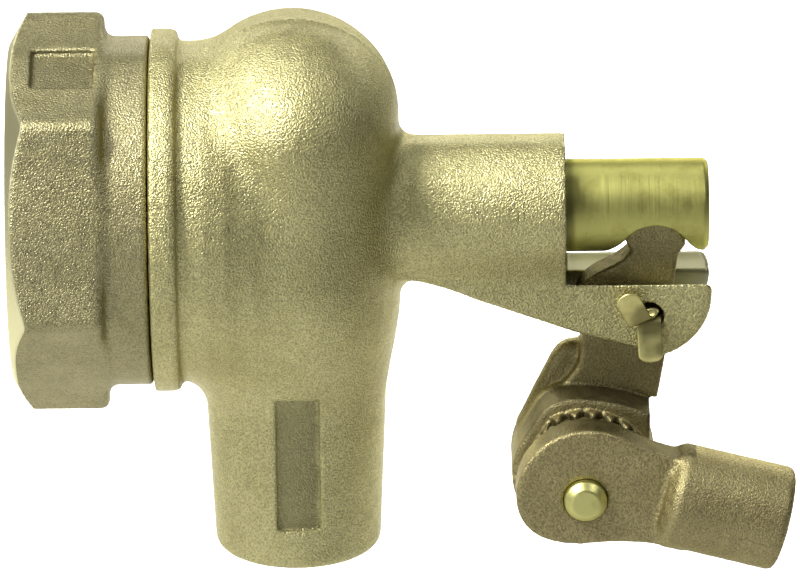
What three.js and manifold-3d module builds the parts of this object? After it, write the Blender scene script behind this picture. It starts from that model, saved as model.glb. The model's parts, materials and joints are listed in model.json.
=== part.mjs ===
// Float valve: a cast bronze body with a hexagonal pipe inlet, a turned plunger that closes
// the waterway, and a lever with a serrated joint that carries the socket of the float rod.
// Millimetres. Origin at the centre of the inlet's end face, +X from the inlet along the
// plunger, +Z up. The side of the serrated joint faces -Y.
import * as THREE from 'three';
import { mergeVertices } from 'three/addons/utils/BufferGeometryUtils.js';
import Module from 'manifold-3d';

const wasm = await Module();
wasm.setup();

// ---- driving dimensions -------------------------------------------------------------
const GAP = 0.3;                 // running clearance, and the gap between seated pieces
const ROUND = 36;                // sides of a full turned circle

const HEX_FLATS = 42.9;          // across flats of the inlet, 1 11/16 in
const HEX_TURN = 46.1;           // degrees from -Y up to the first corner
const HEX_LENGTH = 11.6;
const HEX_BACK_EDGE = { length: 0.8, drop: 0.9 };
const FACE_RADIUS = 20.6;        // where the end chamfer meets the end face
const FACE_CHAMFER = 30;         // degrees off the end face
const COLLAR_END = 17.0;
const PIPE_BORE = 15.8;          // female pipe thread, 1 in NPT, taken at its mean radius
const PIPE_DEPTH = 14.0;
const PIPE_MOUTH = { radius: PIPE_BORE + 0.7, depth: 1.2 };
const PIPE_TAPER = 0.5;          // fall of the bore's radius over its depth
const NOSE_RADIUS = 18.0;
const NOSE_END = 20.9;
const WATERWAY = 11.0;

const FLANGE_START = COLLAR_END + 0.4;
const FLANGE_END = 20.6;
const FLANGE_RADIUS = 22.2;
const FLANGE_EDGE = 0.5;
const NECK_RADIUS = 20.8;
const NECK_END = 26.0;
const NECK_RIM = { radius: NOSE_RADIUS + 2.2, depth: 1.5 }; // where the body gasket lies
const SEAT_POCKET_END = 24.6;
const CHAMBER_MOUTH = 13.6;

const BULB_X = 34.6;             // the vertical axis of dome, chamber and spout
const BULB_RX = 13.1;
const BULB_RY = 17.5;
const DOME_BASE = 12.5;
const DOME_HEIGHT = 12.2;
const SPOUT_RADIUS = 11.05;
const SPOUT_TIP_RADIUS = 10.3;
const SPOUT_TOP = -25.5;
const SPOUT_END = -44.2;
const SPOUT_BORE = 8.3;
const SPOUT_EDGE = 0.5;
const WALL = 2.7;
const BULB_SHOULDER = -6;        // below it the bulb draws in towards the spout

const SLEEVE_RADIUS = 8.9;
const SLEEVE_END = 68.0;
const PLUNGER_RADIUS = 5.7;
const PLUNGER_START = 33.0;
const PLUNGER_END = 85.6;
const PLUNGER_CHAMFER = 0.55;

const EAR_OUTER = 5.9;           // half of the spacing over the two ears
const EAR_INNER = 2.6;           // half of the slot between them
const TROUGH_RADIUS = 10.15;
const EAR_END = 85.86;
const EAR_ARC = { x: 77.5, z: -9.76, r: 8.33 };

const PIVOT = { x: 78.2, z: -12.46 };
const PIN_RADIUS = 1.45;
const PIN_HOLE = PIN_RADIUS + GAP;

const LEVER_HALF = 2.3;          // half of the lever's thickness between the ears
const HEAD = { x: 79.0, z: -4.87, r: 3.8 };
const NOTCH_GAP = 0.34;          // between the lever's head and the plunger's notch
const JOINT = { x: 70.1, z: -33.0 };
const BOSS_RADIUS = 8.9;
const BOSS_FACE = -7.2;          // root plane of the lever's teeth
const TEETH = 24;
const LEVER_TOOTH = 1.9;
const ARM_TOOTH = 1.1;
const EAR_BACK = BOSS_FACE - LEVER_TOOTH - GAP - ARM_TOOTH;
const ARM_THICK = 4.5;
const EAR_FACE = EAR_BACK - ARM_THICK;
const SCREW_RADIUS = 2.65;
const TEETH_INNER = SCREW_RADIUS + 2.0;

const SOCKET_TILT = 15;          // degrees below the horizontal
const SOCKET_RADIUS = 6.5;
const SOCKET_START = 12.4;       // along its axis, from the joint
const SOCKET_END = 25.4;
const SOCKET_Y = EAR_BACK - 2.1;
const SOCKET_RISE = 2.6;         // of the socket's axis over the joint's centre
const ROD_HOLE = 2.7;            // tapped for a 1/4 in float rod
const ROD_DEPTH = 11;

// ---- materials ----------------------------------------------------------------------
function metal(color, roughness, metalness) {
  return new THREE.MeshStandardMaterial({ color, roughness, metalness });
}
const castBronze = metal(0xb3a878, 0.5, 0.85);
const leverBronze = metal(0x84794f, 0.55, 0.85);
const turnedBrass = metal(0xb9b560, 0.3, 0.95);
const rubber = metal(0x1c1c1e, 0.85, 0.0);
const fibre = metal(0x3a2a22, 0.9, 0.0);

// ---- solids -------------------------------------------------------------------------
const radians = THREE.MathUtils.degToRad;

function solid(geometry) {
  const bare = geometry.index ? geometry.toNonIndexed() : geometry.clone();
  bare.deleteAttribute('normal');
  bare.deleteAttribute('uv');
  const merged = mergeVertices(bare, 1e-4);
  const mesh = new wasm.Mesh({
    numProp: 3,
    vertProperties: new Float32Array(merged.attributes.position.array),
    triVerts: new Uint32Array(merged.index.array),
  });
  mesh.merge();
  return new wasm.Manifold(mesh);
}

function geometryOf(manifold) {
  const mesh = manifold.getMesh();
  const geometry = new THREE.BufferGeometry();
  geometry.setAttribute('position', new THREE.BufferAttribute(mesh.vertProperties, 3));
  geometry.setIndex(new THREE.BufferAttribute(mesh.triVerts, 1));
  geometry.computeVertexNormals();
  return geometry;
}

// A solid turned about the X axis from [x, radius] points, which start and end on the axis.
function turnedX(points, sides = ROUND) {
  const profile = points.map(([x, r]) => new THREE.Vector2(r, x));
  const geometry = new THREE.LatheGeometry(profile, sides);
  geometry.rotateZ(-Math.PI / 2);
  return solid(geometry);
}

function rodX(x0, x1, radius, sides = ROUND) {
  return turnedX([[x0, 0], [x0, radius], [x1, radius], [x1, 0]], sides);
}

function ringX(x0, x1, inner, outer, sides = ROUND) {
  return rodX(x0, x1, outer, sides).subtract(rodX(x0 - 1, x1 + 1, inner, sides));
}

// A cylinder along Y at (x, z).
function rodY(x, z, y0, y1, radius, sides = 32) {
  const geometry = new THREE.CylinderGeometry(radius, radius, y1 - y0, sides);
  geometry.translate(x, (y0 + y1) / 2, z);
  return solid(geometry);
}

function rodZ(x, y, z0, z1, radius0, radius1, sides = ROUND) {
  const geometry = new THREE.CylinderGeometry(radius1, radius0, z1 - z0, sides);
  geometry.rotateX(Math.PI / 2);
  geometry.translate(x, y, (z0 + z1) / 2);
  return solid(geometry);
}

function boxOf(x0, x1, y0, y1, z0, z1) {
  const geometry = new THREE.BoxGeometry(x1 - x0, y1 - y0, z1 - z0);
  geometry.translate((x0 + x1) / 2, (y0 + y1) / 2, (z0 + z1) / 2);
  return solid(geometry);
}

// An outline in the XZ plane, extruded from y0 to y1.
function plateXZ(shape, y0, y1, curveSegments = 12) {
  const geometry = new THREE.ExtrudeGeometry(shape, {
    depth: y1 - y0,
    bevelEnabled: false,
    curveSegments,
  });
  geometry.rotateX(Math.PI / 2);
  geometry.translate(0, y1, 0);
  return solid(geometry);
}

function join(...solids) {
  return solids.reduce((whole, piece) => whole.add(piece));
}

// A solid through closed rings of [x, y, z] points, all with the same count, capped with fans.
function loft(rings) {
  const sides = rings[0].length;
  const last = rings.length - 1;
  const index = [];
  const middle = (ring) => [0, 1, 2].map((c) => ring.reduce((sum, p) => sum + p[c], 0) / sides);
  for (let k = 0; k < last; k += 1) {
    for (let i = 0; i < sides; i += 1) {
      const a = k * sides + i;
      const b = k * sides + ((i + 1) % sides);
      index.push(a, b, b + sides, a, b + sides, a + sides);
    }
  }
  const low = rings.length * sides;
  for (let i = 0; i < sides; i += 1) {
    const j = (i + 1) % sides;
    index.push(low, j, i);
    index.push(low + 1, last * sides + i, last * sides + j);
  }
  const points = [...rings.flat(), middle(rings[0]), middle(rings[last])];
  const geometry = new THREE.BufferGeometry();
  geometry.setAttribute('position', new THREE.Float32BufferAttribute(points.flat(), 3));
  geometry.setIndex(index);
  return solid(geometry);
}

// A stack of elliptical sections [z, rx, ry] about the bulb's axis, from low to high.
function stackZ(sections, sides = ROUND) {
  return loft(sections.map(([z, rx, ry]) => Array.from({ length: sides }, (_, i) => {
    const a = (2 * Math.PI * i) / sides;
    return [BULB_X + rx * Math.cos(a), ry * Math.sin(a), z];
  })));
}

function smooth(t) {
  const s = Math.min(1, Math.max(0, t));
  return s * s * (3 - 2 * s);
}

function mix(a, b, t) {
  return a + (b - a) * t;
}

// ---- body ---------------------------------------------------------------------------
// Sections of the bulb, offset inwards by a wall for the chamber.
function bulbSections(inset, rows = 6) {
  const sections = [];
  const low = SPOUT_TOP;
  for (let k = 0; k <= rows; k += 1) {
    const z = mix(low, BULB_SHOULDER, k / rows);
    const t = smooth(k / rows);
    sections.push([z, mix(SPOUT_RADIUS, BULB_RX, t) - inset, mix(SPOUT_RADIUS, BULB_RY, t) - inset]);
  }
  sections.push([DOME_BASE, BULB_RX - inset, BULB_RY - inset]);
  for (let k = 1; k <= rows; k += 1) {
    const a = (k / (rows + 0.25)) * (Math.PI / 2);
    const shrink = Math.cos(a);
    const z = DOME_BASE + (DOME_HEIGHT - inset) * Math.sin(a);
    sections.push([z, (BULB_RX - inset) * shrink, (BULB_RY - inset) * shrink]);
  }
  return sections;
}

function bracketOutline() {
  const shape = new THREE.Shape();
  const from = Math.atan2(-17.96 - EAR_ARC.z, 80.2 - EAR_ARC.x);
  const to = Math.atan2(-8.36 - EAR_ARC.z, EAR_END - EAR_ARC.x);
  shape.moveTo(48, -3);
  shape.lineTo(48, -6.4);
  shape.lineTo(57.2, -10.36);
  shape.lineTo(69.3, -14.76);
  shape.lineTo(80.2, -17.96);
  shape.absarc(EAR_ARC.x, EAR_ARC.z, EAR_ARC.r, from, to, false);
  shape.lineTo(EAR_END, -3);
  return shape;
}

function bodySolid() {
  const spout = stackZ([
    [SPOUT_END, SPOUT_TIP_RADIUS - SPOUT_EDGE, SPOUT_TIP_RADIUS - SPOUT_EDGE],
    [SPOUT_END + SPOUT_EDGE, SPOUT_TIP_RADIUS, SPOUT_TIP_RADIUS],
    [SPOUT_TOP - 8, SPOUT_RADIUS - 0.25, SPOUT_RADIUS - 0.25],
    [SPOUT_TOP, SPOUT_RADIUS, SPOUT_RADIUS],
    [SPOUT_TOP + 4, SPOUT_RADIUS, SPOUT_RADIUS],
  ]);
  const neck = turnedX([
    [FLANGE_START, 0], [FLANGE_START, FLANGE_RADIUS], [FLANGE_END - FLANGE_EDGE, FLANGE_RADIUS],
    [FLANGE_END, FLANGE_RADIUS - FLANGE_EDGE], [FLANGE_END, NECK_RADIUS], [NECK_END - 2.5, NECK_RADIUS],
    [NECK_END, NECK_RADIUS - 0.4], [NECK_END + 3.5, NECK_RADIUS - 2.0],
    [NECK_END + 7, NECK_RADIUS - 5.4], [NECK_END + 9.5, 10], [NECK_END + 9.5, 0],
  ]);
  const sleeve = rodX(BULB_X, SLEEVE_END, SLEEVE_RADIUS);
  const bracket = plateXZ(bracketOutline(), -EAR_OUTER, EAR_OUTER, 10)
    .subtract(rodX(SLEEVE_END, EAR_END + 5, TROUGH_RADIUS))
    .subtract(boxOf(SLEEVE_END - 0.8, EAR_END + 5, -EAR_INNER, EAR_INNER, -40, 5))
    .subtract(rodY(PIVOT.x, PIVOT.z, -9, 9, PIN_HOLE, 24));
  const outer = join(stackZ(bulbSections(0)), spout, neck, sleeve, bracket);
  const chamber = join(
    stackZ(bulbSections(WALL)),
    rodZ(BULB_X, 0, SPOUT_END - 1, SPOUT_TOP + 1, SPOUT_BORE - 0.3, SPOUT_BORE),
    rodX(FLANGE_START - 1, SEAT_POCKET_END, NOSE_RADIUS + GAP),
    rodX(SEAT_POCKET_END - 1, BULB_X, CHAMBER_MOUTH),
    rodX(FLANGE_START - 1, FLANGE_START + NECK_RIM.depth, NECK_RIM.radius),
    rodX(BULB_X, SLEEVE_END + 1, PLUNGER_RADIUS + GAP, 32),
  );
  return outer.subtract(chamber).subtract(boxOf(SLEEVE_END, SLEEVE_END + 5,
    -EAR_INNER, EAR_INNER, -12, 12));
}

// ---- inlet --------------------------------------------------------------------------
function inletSolid() {
  const corner = HEX_FLATS / 2 / Math.cos(radians(30));
  const shape = new THREE.Shape();
  for (let k = 0; k < 6; k += 1) {
    const a = radians(HEX_TURN + 60 * k);
    const y = -corner * Math.cos(a);
    const z = corner * Math.sin(a);
    if (k === 0) shape.moveTo(y, z);
    else shape.lineTo(y, z);
  }
  const prism = new THREE.ExtrudeGeometry(shape, { depth: HEX_LENGTH, bevelEnabled: false });
  prism.rotateX(Math.PI / 2);
  prism.rotateZ(Math.PI / 2);
  const rise = (corner - FACE_RADIUS) * Math.tan(radians(FACE_CHAMFER));
  const cone = turnedX([[0, 0], [0, FACE_RADIUS], [rise, corner],
    [HEX_LENGTH - HEX_BACK_EDGE.length, corner], [HEX_LENGTH, corner - HEX_BACK_EDGE.drop],
    [HEX_LENGTH, 0]]);
  const hexagon = solid(prism).intersect(cone);
  const collar = turnedX([[HEX_LENGTH - 1, 0], [HEX_LENGTH - 1, HEX_FLATS / 2],
    [COLLAR_END, HEX_FLATS / 2], [COLLAR_END, NOSE_RADIUS], [NOSE_END, NOSE_RADIUS],
    [NOSE_END, 0]]);
  const bore = turnedX([[-1, 0], [-1, PIPE_MOUTH.radius], [0, PIPE_MOUTH.radius],
    [PIPE_MOUTH.depth, PIPE_BORE], [PIPE_DEPTH, PIPE_BORE - PIPE_TAPER], [PIPE_DEPTH, WATERWAY],
    [NOSE_END + 1, WATERWAY], [NOSE_END + 1, 0]]);
  return hexagon.add(collar).subtract(bore);
}

// ---- seat ---------------------------------------------------------------------------
const SEAT_START = NOSE_END + 1.3;
const SEAT_LIP_END = SEAT_POCKET_END + 0.9;
const ORIFICE = 7.6;
const SEAT_OUTER = NOSE_RADIUS - 0.2;
const SEAT_SHOULDER = 11.5;      // radius at which the seat's cone rises from the ring

function seatSolid() {
  const ring = turnedX([[SEAT_START, 0], [SEAT_START, SEAT_OUTER],
    [SEAT_POCKET_END - GAP, SEAT_OUTER], [SEAT_POCKET_END - GAP, SEAT_SHOULDER],
    [SEAT_LIP_END - 0.8, ORIFICE + 1.6], [SEAT_LIP_END, ORIFICE + 1.1], [SEAT_LIP_END, 0]]);
  return ring.subtract(rodX(SEAT_START - 1, SEAT_LIP_END + 1, ORIFICE));
}

// ---- plunger and disc ---------------------------------------------------------------
const VALVE_OPENING = 2.4;       // between seat and disc at rest
const DISC_FACE = SEAT_LIP_END + VALVE_OPENING;
const DISC_THICK = 3.0;
const DISC_RADIUS = 9.6;
const HOLDER_RADIUS = 11.2;
const HOLDER_BACK = PLUNGER_START - GAP;
const RING_GROOVES = [46.5, 56.5];
const GROOVE_WIDTH = 2.9;
const GROOVE_RADIUS = 4.1;
const SCREW_SHANK = 1.7;
const DISC_WASHER = 0.8;         // thickness of the washer under the disc screw's head
const DISC_WASHER_RADIUS = 5.0;
const DISC_SCREW = { radius: 2.9, head: 1.3, slot: 0.8, point: PLUNGER_START + 8.5 };

// The transverse notch that takes the lever's head: a round crown with flared flanks.
function notchSolid() {
  const crown = HEAD.r + NOTCH_GAP;
  const flare = new THREE.Shape();
  flare.moveTo(HEAD.x - crown * 0.9, HEAD.z + 1.8);
  flare.lineTo(HEAD.x - 6.6, -PLUNGER_RADIUS - 0.1);
  flare.lineTo(HEAD.x - 6.6, -PLUNGER_RADIUS - 3);
  flare.lineTo(HEAD.x + 6.0, -PLUNGER_RADIUS - 3);
  flare.lineTo(HEAD.x + 6.0, -PLUNGER_RADIUS - 0.1);
  flare.lineTo(HEAD.x + crown * 0.9, HEAD.z + 1.7);
  return rodY(HEAD.x, HEAD.z, -9, 9, crown, 40).add(plateXZ(flare, -9, 9));
}

function plungerSolid() {
  const r = PLUNGER_RADIUS;
  let rod = turnedX([[PLUNGER_START, 0], [PLUNGER_START, r], [PLUNGER_END - PLUNGER_CHAMFER, r],
    [PLUNGER_END, r - PLUNGER_CHAMFER], [PLUNGER_END, 0]]);
  for (const x of RING_GROOVES) rod = rod.subtract(ringX(x, x + GROOVE_WIDTH, GROOVE_RADIUS, r + 1));
  rod = rod.subtract(rodX(PLUNGER_START - 1, DISC_SCREW.point + 0.5, SCREW_SHANK + GAP, 24));
  return rod.subtract(notchSolid());
}

function holderSolid() {
  const cup = turnedX([[DISC_FACE + 1, 0], [DISC_FACE + 1, HOLDER_RADIUS - 0.3],
    [DISC_FACE + 1.3, HOLDER_RADIUS], [HOLDER_BACK - 1.2, HOLDER_RADIUS],
    [HOLDER_BACK, HOLDER_RADIUS - 3], [HOLDER_BACK, 0]]);
  return cup
    .subtract(rodX(DISC_FACE - 1, DISC_FACE + DISC_THICK + GAP, DISC_RADIUS + GAP))
    .subtract(rodX(DISC_FACE, HOLDER_BACK + 1, SCREW_SHANK + GAP, 24));
}

function discScrewSolid() {
  const seated = DISC_FACE - DISC_WASHER - 2 * GAP;
  const head = seated - DISC_SCREW.head;
  const { radius, slot, point } = DISC_SCREW;
  const screw = turnedX([[head, 0], [head, radius - 0.3], [head + 0.3, radius], [seated, radius],
    [seated, SCREW_SHANK], [point - 0.5, SCREW_SHANK], [point, SCREW_SHANK - 0.5], [point, 0]], 24);
  return screw.subtract(boxOf(head - 1, head + 0.6, -slot / 2, slot / 2, -4, 4));
}

// ---- lever --------------------------------------------------------------------------
function leverPlate() {
  const shape = new THREE.Shape();
  shape.moveTo(81.6, -7.8);
  shape.lineTo(81.9, -5.9);
  shape.absarc(HEAD.x, HEAD.z, HEAD.r, radians(4), radians(166), false);
  shape.lineTo(76.1, -5.3);
  shape.quadraticCurveTo(75.0, -6.9, 72.3, -8.0);
  shape.quadraticCurveTo(69.4, -9.6, 69.2, -12.0);
  shape.lineTo(70.0, -16.6);
  shape.lineTo(69.7, -19.8);
  shape.quadraticCurveTo(69.2, -21.4, 67.7, -22.9);
  shape.quadraticCurveTo(73.6, -22.8, 78.8, -25.1);
  shape.lineTo(80.1, -19.4);
  shape.lineTo(81.4, -10.5);
  return shape;
}

// The web behind the plate: its free left edge slants down to the boss.
function leverWeb() {
  const shape = new THREE.Shape();
  shape.moveTo(72.0, -17.8);
  shape.lineTo(68.4, -18.4);
  shape.quadraticCurveTo(67.0, -18.7, 66.2, -20.2);
  shape.lineTo(64.1, -24.4);
  shape.lineTo(61.9, -29.2);
  shape.lineTo(JOINT.x, JOINT.z);
  shape.lineTo(78.6, -26);
  shape.lineTo(78.6, -20);
  return shape;
}

function bossOutline() {
  const shape = new THREE.Shape();
  shape.moveTo(78.6, -25.0);
  shape.quadraticCurveTo(73.6, -22.9, 67.4, -23.1);
  shape.lineTo(65.0, -24.3);
  shape.lineTo(62.1, -29.2);
  shape.absarc(JOINT.x, JOINT.z, BOSS_RADIUS, radians(155), radians(378), false);
  return shape;
}

// A ring of face teeth whose roots lie on the plane y = root and whose crests stand off it.
function teethSolid(root, height, phase) {
  const pitch = (2 * Math.PI) / TEETH;
  const direction = Math.sign(height);
  const positions = [];
  const index = [];
  const point = (radius, a, y) => {
    positions.push(JOINT.x + radius * Math.cos(a), y, JOINT.z + radius * Math.sin(a));
  };
  for (let k = 0; k < TEETH; k += 1) {
    const a0 = (k + phase) * pitch;
    for (const radius of [TEETH_INNER, BOSS_RADIUS - 0.15]) {
      point(radius, a0, root - direction * 0.4);
      point(radius, a0, root);
      point(radius, a0 + pitch / 2, root + height);
      point(radius, a0 + pitch / 2, root - direction * 0.4);
    }
  }
  const at = (k, ring, corner) => (k % TEETH) * 8 + ring * 4 + corner;
  const quad = (a, b, c, d) => index.push(a, b, c, a, c, d);
  for (let k = 0; k < TEETH; k += 1) {
    const n = k + 1;
    quad(at(k, 0, 1), at(k, 0, 2), at(k, 1, 2), at(k, 1, 1));
    quad(at(k, 0, 2), at(n, 0, 1), at(n, 1, 1), at(k, 1, 2));
    quad(at(k, 1, 0), at(k, 1, 3), at(k, 0, 3), at(k, 0, 0));
    quad(at(k, 1, 3), at(n, 1, 0), at(n, 0, 0), at(k, 0, 3));
    quad(at(k, 1, 1), at(k, 1, 2), at(k, 1, 3), at(k, 1, 0));
    quad(at(k, 1, 2), at(n, 1, 1), at(n, 1, 0), at(k, 1, 3));
    quad(at(k, 0, 0), at(k, 0, 3), at(k, 0, 2), at(k, 0, 1));
    quad(at(k, 0, 3), at(n, 0, 0), at(n, 0, 1), at(k, 0, 2));
  }
  if (direction < 0) {
    for (let i = 0; i < index.length; i += 3) {
      const swap = index[i];
      index[i] = index[i + 1];
      index[i + 1] = swap;
    }
  }
  const geometry = new THREE.BufferGeometry();
  geometry.setAttribute('position', new THREE.Float32BufferAttribute(positions, 3));
  geometry.setIndex(index);
  return solid(geometry);
}

function leverSolid() {
  const whole = join(
    plateXZ(leverPlate(), -LEVER_HALF, LEVER_HALF),
    plateXZ(leverWeb(), -0.5, LEVER_HALF),
    plateXZ(bossOutline(), BOSS_FACE, LEVER_HALF, 24),
    teethSolid(BOSS_FACE, -LEVER_TOOTH, 0)
      .subtract(boxOf(JOINT.x - 10, JOINT.x + 10, -20, BOSS_FACE, JOINT.z - 12, JOINT.z - 7.9)),
  );
  return whole
    .subtract(rodY(PIVOT.x, PIVOT.z, -5, 5, PIN_HOLE, 24))
    .subtract(rodY(JOINT.x, JOINT.z, -12, 5, SCREW_RADIUS + GAP, 24));
}

// ---- float arm ----------------------------------------------------------------------
function armOutline() {
  const shape = new THREE.Shape();
  shape.moveTo(JOINT.x + 12.6, JOINT.z + 4.9);
  shape.quadraticCurveTo(JOINT.x + 8.6, JOINT.z + 5.6, JOINT.x + 5.4, JOINT.z + 7.6);
  shape.absarc(JOINT.x + 0.4, JOINT.z + 0.1, 8.95, radians(56), radians(178), false);
  shape.quadraticCurveTo(JOINT.x - 8.5, JOINT.z - 5.9, JOINT.x - 0.6, JOINT.z - 6.1);
  shape.quadraticCurveTo(JOINT.x + 4.4, JOINT.z - 5.4, JOINT.x + 9.4, JOINT.z - 6.3);
  shape.lineTo(JOINT.x + 12.0, JOINT.z - 6.8);
  return shape;
}

// Placed with its axis along X from the joint, then tilted down about it.
function socketSolid() {
  const end = SOCKET_END;
  const r = SOCKET_RADIUS;
  const barrel = turnedX([[SOCKET_START - 2, 0], [SOCKET_START - 2, r - 1.4],
    [SOCKET_START, r - 0.15], [end - 1.6, r], [end - 0.7, r - 0.6], [end, r - 2.0],
    [end, 0]]);
  return barrel.rotate([0, SOCKET_TILT, 0]).translate([JOINT.x, SOCKET_Y, JOINT.z + SOCKET_RISE]);
}

function rodHole() {
  const hole = rodX(SOCKET_END - ROD_DEPTH, SOCKET_END + 2, ROD_HOLE, 24);
  return hole.rotate([0, SOCKET_TILT, 0]).translate([JOINT.x, SOCKET_Y, JOINT.z + SOCKET_RISE]);
}

function armSolid() {
  const outline = armOutline();
  const teeth = teethSolid(EAR_BACK, ARM_TOOTH, 0.5);
  const whole = join(
    plateXZ(outline, EAR_FACE, EAR_BACK, 24),
    socketSolid(),
    teeth.intersect(plateXZ(outline, EAR_FACE, EAR_BACK + ARM_TOOTH + 1, 24)),
  );
  return whole
    .subtract(rodHole())
    .subtract(rodY(JOINT.x, JOINT.z, EAR_FACE - 1, EAR_BACK + 3, SCREW_RADIUS + GAP, 24));
}

// ---- clamp screw and washer ---------------------------------------------------------
const WASHER_THICK = 1.0;
const WASHER_RADIUS = 4.3;
const WASHER_SPLIT = 0.6;
const SCREW_HEAD = { height: 3.2, corner: 4.6 };
const SCREW_STAND = 1.5;         // of the screw's end over the arm's ear
const SCREW_TIP = { length: 0.7, radius: 1.9 };

function clampScrewSolid() {
  const back = LEVER_HALF + GAP + WASHER_THICK + GAP;
  const end = EAR_FACE - SCREW_STAND;
  const { height, corner } = SCREW_HEAD;
  const head = solid(new THREE.CylinderGeometry(corner, corner, height, 6)
    .translate(JOINT.x, back + height / 2, JOINT.z));
  const tip = solid(new THREE.CylinderGeometry(SCREW_RADIUS, SCREW_TIP.radius, SCREW_TIP.length, 24)
    .translate(JOINT.x, end + SCREW_TIP.length / 2, JOINT.z));
  const shank = rodY(JOINT.x, JOINT.z, end + SCREW_TIP.length, back + 0.5, SCREW_RADIUS, 24);
  return join(head, shank, tip);
}

function lockWasherSolid() {
  const y0 = LEVER_HALF + GAP;
  return rodY(JOINT.x, JOINT.z, y0, y0 + WASHER_THICK, WASHER_RADIUS)
    .subtract(rodY(JOINT.x, JOINT.z, y0 - 1, y0 + 3, SCREW_RADIUS + GAP))
    .subtract(boxOf(JOINT.x - WASHER_SPLIT / 2, JOINT.x + WASHER_SPLIT / 2, y0 - 1, y0 + 3,
      JOINT.z, JOINT.z + 6));
}

// ---- split pin ----------------------------------------------------------------------
const BEND_INNER = 0.5;          // inside radius of a leg's bend
const LEG_TURN = 72;             // degrees that a leg is bent over
const LEGS = [{ towards: 118, reach: 3.0 }, { towards: -87, reach: 3.6 }];
const EYE = { radius: 2.0, wire: 0.75 };

// One half-round leg, bent over towards an angle in the XZ plane, its flat side outwards.
function pinLeg(angle, reach) {
  const r = PIN_RADIUS;
  const dx = Math.cos(radians(angle));
  const dz = Math.sin(radians(angle));
  const start = -EAR_OUTER + 0.1;
  const end = radians(LEG_TURN);
  const section = Array.from({ length: 9 }, (_, i) => {
    const a = mix(-Math.PI / 2, Math.PI / 2, i / 8);
    return [r * Math.cos(a), r * Math.sin(a)];
  });
  const ringAt = (turn, lead) => section.map(([u, w]) => {
    const radius = BEND_INNER + r - u;
    const out = BEND_INNER + r - radius * Math.cos(turn) + lead * Math.sin(turn);
    const y = start - radius * Math.sin(turn) - lead * Math.cos(turn);
    return [PIVOT.x + dx * out - dz * w, y, PIVOT.z + dz * out + dx * w];
  });
  const rings = [ringAt(0, -2)];
  for (let k = 0; k <= 5; k += 1) rings.push(ringAt((end * k) / 5, 0));
  rings.push(ringAt(end, reach));
  return loft(rings);
}

function splitPinSolid() {
  const loop = new THREE.TorusGeometry(EYE.radius, EYE.wire, 10, 24);
  loop.rotateY(Math.PI / 2);
  loop.translate(PIVOT.x, EAR_OUTER + GAP + EYE.radius + EYE.wire, PIVOT.z);
  return join(
    rodY(PIVOT.x, PIVOT.z, -EAR_OUTER + 1, EAR_OUTER + 1.2, PIN_RADIUS, 24),
    solid(loop),
    ...LEGS.map((leg) => pinLeg(leg.towards, leg.reach)),
  );
}

// ---- assembly -----------------------------------------------------------------------
const valve = new THREE.Group();

function add(name, manifold, material) {
  const mesh = new THREE.Mesh(geometryOf(manifold), material);
  mesh.name = name;
  valve.add(mesh);
}

add('valve_body', bodySolid(), castBronze);
add('inlet_fitting', inletSolid(), castBronze);
add('body_gasket', ringX(FLANGE_START + 0.05, FLANGE_START + 1.2, NOSE_RADIUS + 0.25,
  NOSE_RADIUS + 1.9), fibre);
add('seat_gasket', ringX(NOSE_END + 0.25, SEAT_START - 0.25, 12.5, SEAT_OUTER), fibre);
add('seat_ring', seatSolid(), turnedBrass);
add('plunger', plungerSolid(), turnedBrass);
add('disc_holder', holderSolid(), turnedBrass);
add('seat_disc', ringX(DISC_FACE, DISC_FACE + DISC_THICK, SCREW_SHANK + GAP, DISC_RADIUS), rubber);
add('disc_washer', ringX(DISC_FACE - GAP - DISC_WASHER, DISC_FACE - GAP, SCREW_SHANK + GAP,
  DISC_WASHER_RADIUS), turnedBrass);
add('disc_screw', discScrewSolid(), turnedBrass);
RING_GROOVES.forEach((x, i) => {
  add(`plunger_o_ring_${i + 1}`, ringX(x + GAP, x + GROOVE_WIDTH - GAP, GROOVE_RADIUS + GAP,
    PLUNGER_RADIUS + 0.1), rubber);
});
add('lever', leverSolid(), leverBronze);
add('split_pin', splitPinSolid(), turnedBrass);
add('float_arm', armSolid(), leverBronze);
add('clamp_screw', clampScrewSolid(), turnedBrass);
add('lock_washer', lockWasherSolid(), turnedBrass);

export default valve;
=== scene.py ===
"""A cast bronze float valve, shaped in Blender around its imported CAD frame.

Every casting is a distance field in millimetres, meshed on a fine grid: soft unions give the
foundry fillets, hard cuts give the machined faces. Turned pieces are swept profiles.
"""

import json
import math

import bmesh
import bpy
import numpy as np
import openvdb
from mathutils import Matrix, Vector


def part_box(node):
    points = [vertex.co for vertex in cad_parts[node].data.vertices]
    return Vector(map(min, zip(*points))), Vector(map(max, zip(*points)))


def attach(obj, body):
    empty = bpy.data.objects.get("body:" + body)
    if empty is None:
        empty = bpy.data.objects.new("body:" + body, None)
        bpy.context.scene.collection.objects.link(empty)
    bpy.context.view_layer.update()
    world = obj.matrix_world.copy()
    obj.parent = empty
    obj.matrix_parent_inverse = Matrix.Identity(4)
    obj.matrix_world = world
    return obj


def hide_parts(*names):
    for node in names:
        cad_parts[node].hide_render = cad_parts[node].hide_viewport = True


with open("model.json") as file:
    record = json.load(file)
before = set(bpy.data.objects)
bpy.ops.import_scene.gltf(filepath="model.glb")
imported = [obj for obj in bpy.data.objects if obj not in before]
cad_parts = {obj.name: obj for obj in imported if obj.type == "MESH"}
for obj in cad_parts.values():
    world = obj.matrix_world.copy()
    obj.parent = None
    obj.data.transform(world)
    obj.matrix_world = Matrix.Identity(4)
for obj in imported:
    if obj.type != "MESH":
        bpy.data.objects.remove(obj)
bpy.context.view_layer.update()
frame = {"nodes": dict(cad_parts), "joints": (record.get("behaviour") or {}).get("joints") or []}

MM = 0.001
COARSE = 1.0


def box_mm(node):
    low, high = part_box(node)
    return [v / MM for v in low], [v / MM for v in high]


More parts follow.
